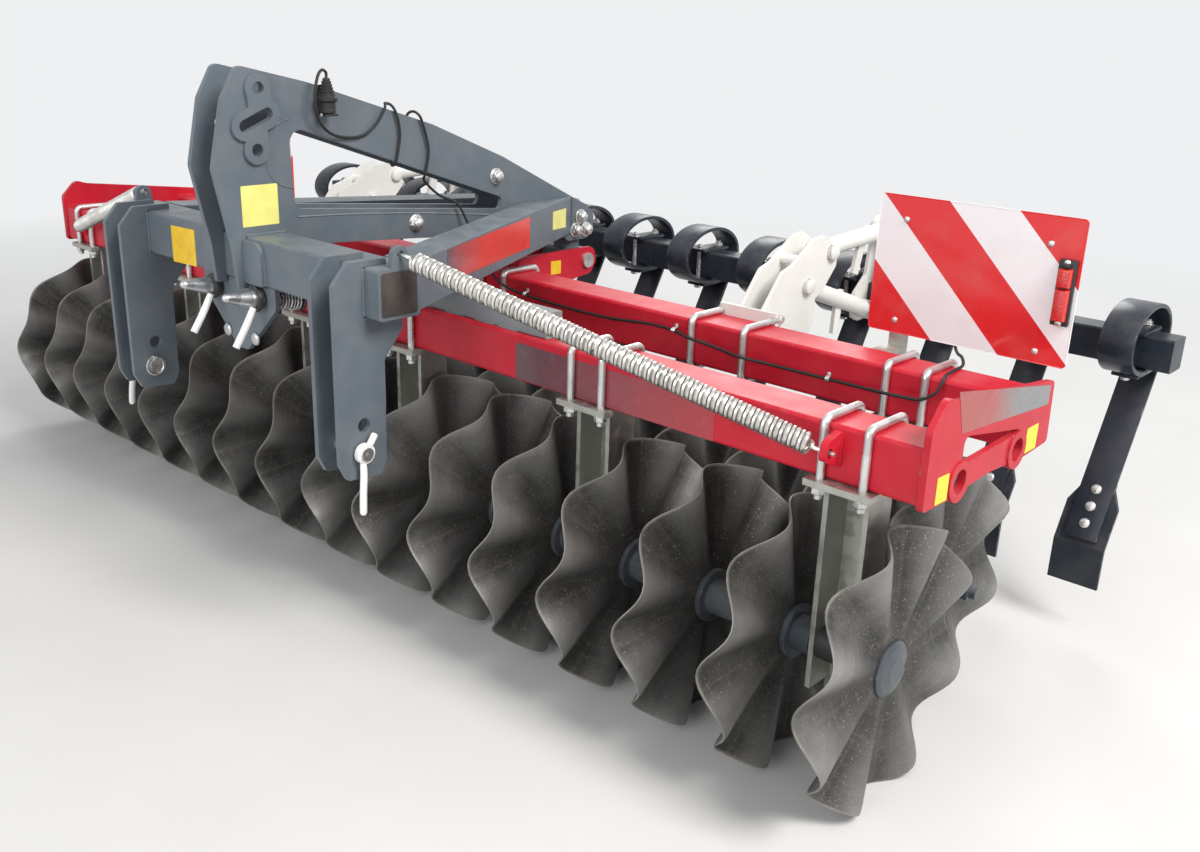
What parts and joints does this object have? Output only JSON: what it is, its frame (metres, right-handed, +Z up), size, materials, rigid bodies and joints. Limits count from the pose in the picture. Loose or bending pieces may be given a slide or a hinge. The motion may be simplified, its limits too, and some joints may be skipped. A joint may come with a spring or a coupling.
{
  "type": "disc harrow",
  "caption": "Front-carried disc harrow with two gangs of wavy discs, a steering headstock with mast, and a sprung levelling board with paddles.",
  "frame": {"origin": "middle of the whole machine's box, on the floor its discs stand on", "axes": "X across the machine along the gangs, Y from the headstock to the levelling board, Z up"},
  "size_m": [3.07, 1.5536, 1.1896],
  "materials": {
    "red": "glossy red paint, dusty",
    "slate": "semi-gloss slate grey paint",
    "galvanised": "dull zinc coating",
    "spring": "zinc-plated wire",
    "black": "semi-gloss black paint",
    "off_white": "off-white paint",
    "disc_steel": "worn brown-grey steel with bright rims",
    "blue_grey": "blue-grey paint",
    "board_paint": "reflective red and white stripes",
    "lamp": "red lens in a dark case",
    "white": "white dipped grips",
    "cable": "black cable sheath"
  },
  "bodies": {
    "frame": {"beam_front": "red", "beam_rear": "red", "end_plate_left": "red", "end_plate_right": "red", "apex_ears": "red", "pitch_pin": "galvanised", "slide_bar": "slate", "spring_lugs": "red", "arms_front": "galvanised", "arms_rear": "galvanised", "clamps_front": "galvanised", "clamps_rear": "galvanised", "ubolts_front": "galvanised", "ubolts_rear": "galvanised", "bearings_front": "black", "bearings_rear": "black", "board_mounts": "off_white", "mount_ubolts": "galvanised", "mount_pins": "galvanised", "warning_boards": "board_paint", "board_stays": "galvanised", "lamps": "lamp", "cable_frame": "cable", "centring_springs": "spring"},
    "swivel": {"swivel": "slate"},
    "headstock": {"crossbeam": "slate", "mast_plates": "slate", "hitch_eye_plates": "slate", "kingpin_housing": "slate", "diagonal_arms": "slate", "hitch_brackets": "slate", "hitch_pins": "galvanised", "pin_handles": "white", "front_plates": "slate", "plungers": "slate", "plunger_springs": "spring", "plunger_handles": "white", "plug": "cable", "cable_mast": "cable"},
    "gang_front": {"shaft_front": "disc_steel", "spools_front": "blue_grey", "discs_front": "disc_steel", "caps_front": "blue_grey"},
    "gang_rear": {"shaft_rear": "disc_steel", "spools_rear": "blue_grey", "discs_rear": "disc_steel", "caps_rear": "blue_grey"},
    "board_lower": {"lower_arms": "off_white"},
    "board_upper": {"upper_arms": "off_white"},
    "board": {"board_tube": "black", "board_brackets": "off_white", "tines": "black", "paddles": "black"}
  },
  "joints": [
    {"name": "headstock_pitch", "type": "hinge", "parent": "frame", "child": "swivel", "pos_m": [0, 0.33892, 0.671], "axis": [-1, 0, 0], "range_deg": [0, 8], "deforming": ["centring_springs"]},
    {"name": "headstock_steer", "type": "hinge", "parent": "swivel", "child": "headstock", "pos_m": [0, 0.33892, 0.735], "axis": [0, 0, 1], "range_deg": [-8, 8], "stiffness_Nm_per_rad": 12000, "deforming": ["centring_springs"]},
    {"name": "front_gang_turn", "type": "hinge", "parent": "frame", "child": "gang_front", "pos_m": [0, -0.34608, 0.259], "axis": [1, 0, 0], "continuous": true},
    {"name": "rear_gang_turn", "type": "hinge", "parent": "frame", "child": "gang_rear", "pos_m": [0, 0.02891, 0.259], "axis": [1, 0, 0], "continuous": true},
    {"name": "board_lift", "type": "hinge", "parent": "frame", "child": "board_lower", "pos_m": [0, 0.25892, 0.74], "axis": [1, 0, 0], "range_deg": [-8, 12]},
    {"name": "board_turn", "type": "hinge", "parent": "board_lower", "child": "board", "pos_m": [0, 0.60891, 0.625], "axis": [1, 0, 0], "range_deg": [-4, 4]},
    {"name": "board_upper_turn", "type": "hinge", "parent": "frame", "child": "board_upper", "pos_m": [0, 0.35191, 0.808], "axis": [1, 0, 0], "range_deg": [-10, 15]}
  ],
  "couplings": [
    {"joint": "board_turn", "follows": "board_lift", "ratio": -0.2953},
    {"joint": "board_upper_turn", "follows": "board_lift", "ratio": 1.2285}
  ]
}
